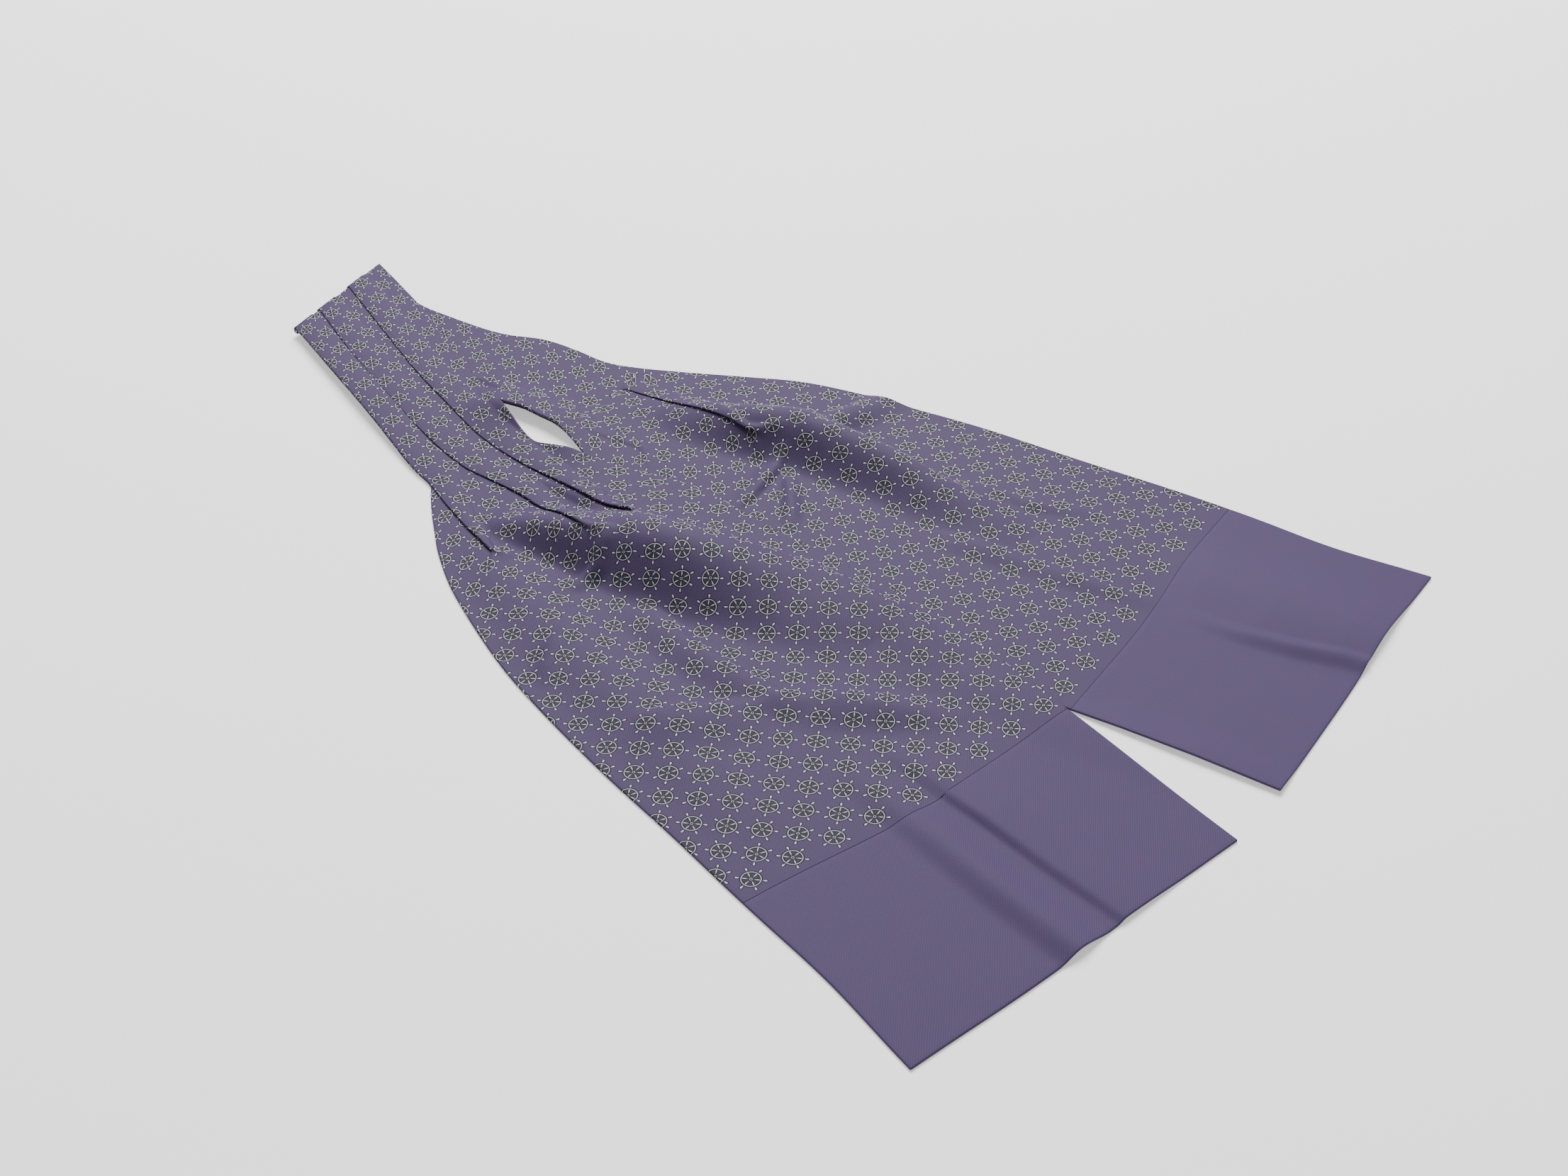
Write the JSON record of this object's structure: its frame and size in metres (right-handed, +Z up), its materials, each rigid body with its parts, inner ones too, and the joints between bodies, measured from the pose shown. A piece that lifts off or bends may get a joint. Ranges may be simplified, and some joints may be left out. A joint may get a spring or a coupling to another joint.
{
  "type": "neck scarf",
  "caption": "Day cravat of ship's-wheel print twill, a flat pleated tube with plain ends, folded in half at the neck and laid flat",
  "frame": {"origin": "under the middle of the whole, on the surface that the cravat lies on", "axes": "+Z up from that surface; the turn at the neck is at +Y and the two hems are at -Y; the rear half lies to the +X side"},
  "size_m": [0.3559, 0.5772, 0.0209],
  "materials": {
    "printed_twill": "muted purple twill printed with grey and white ship's wheels, satin-matt",
    "plain_twill": "plain muted purple twill, satin-matt"
  },
  "bodies": {
    "root": {"front_face": "printed_twill", "front_back": "printed_twill", "rear_back": "printed_twill", "rear_face": "printed_twill", "front_end_face": "plain_twill", "front_end_back": "plain_twill", "rear_end_back": "plain_twill", "rear_end_face": "plain_twill"}
  },
  "joints": []
}
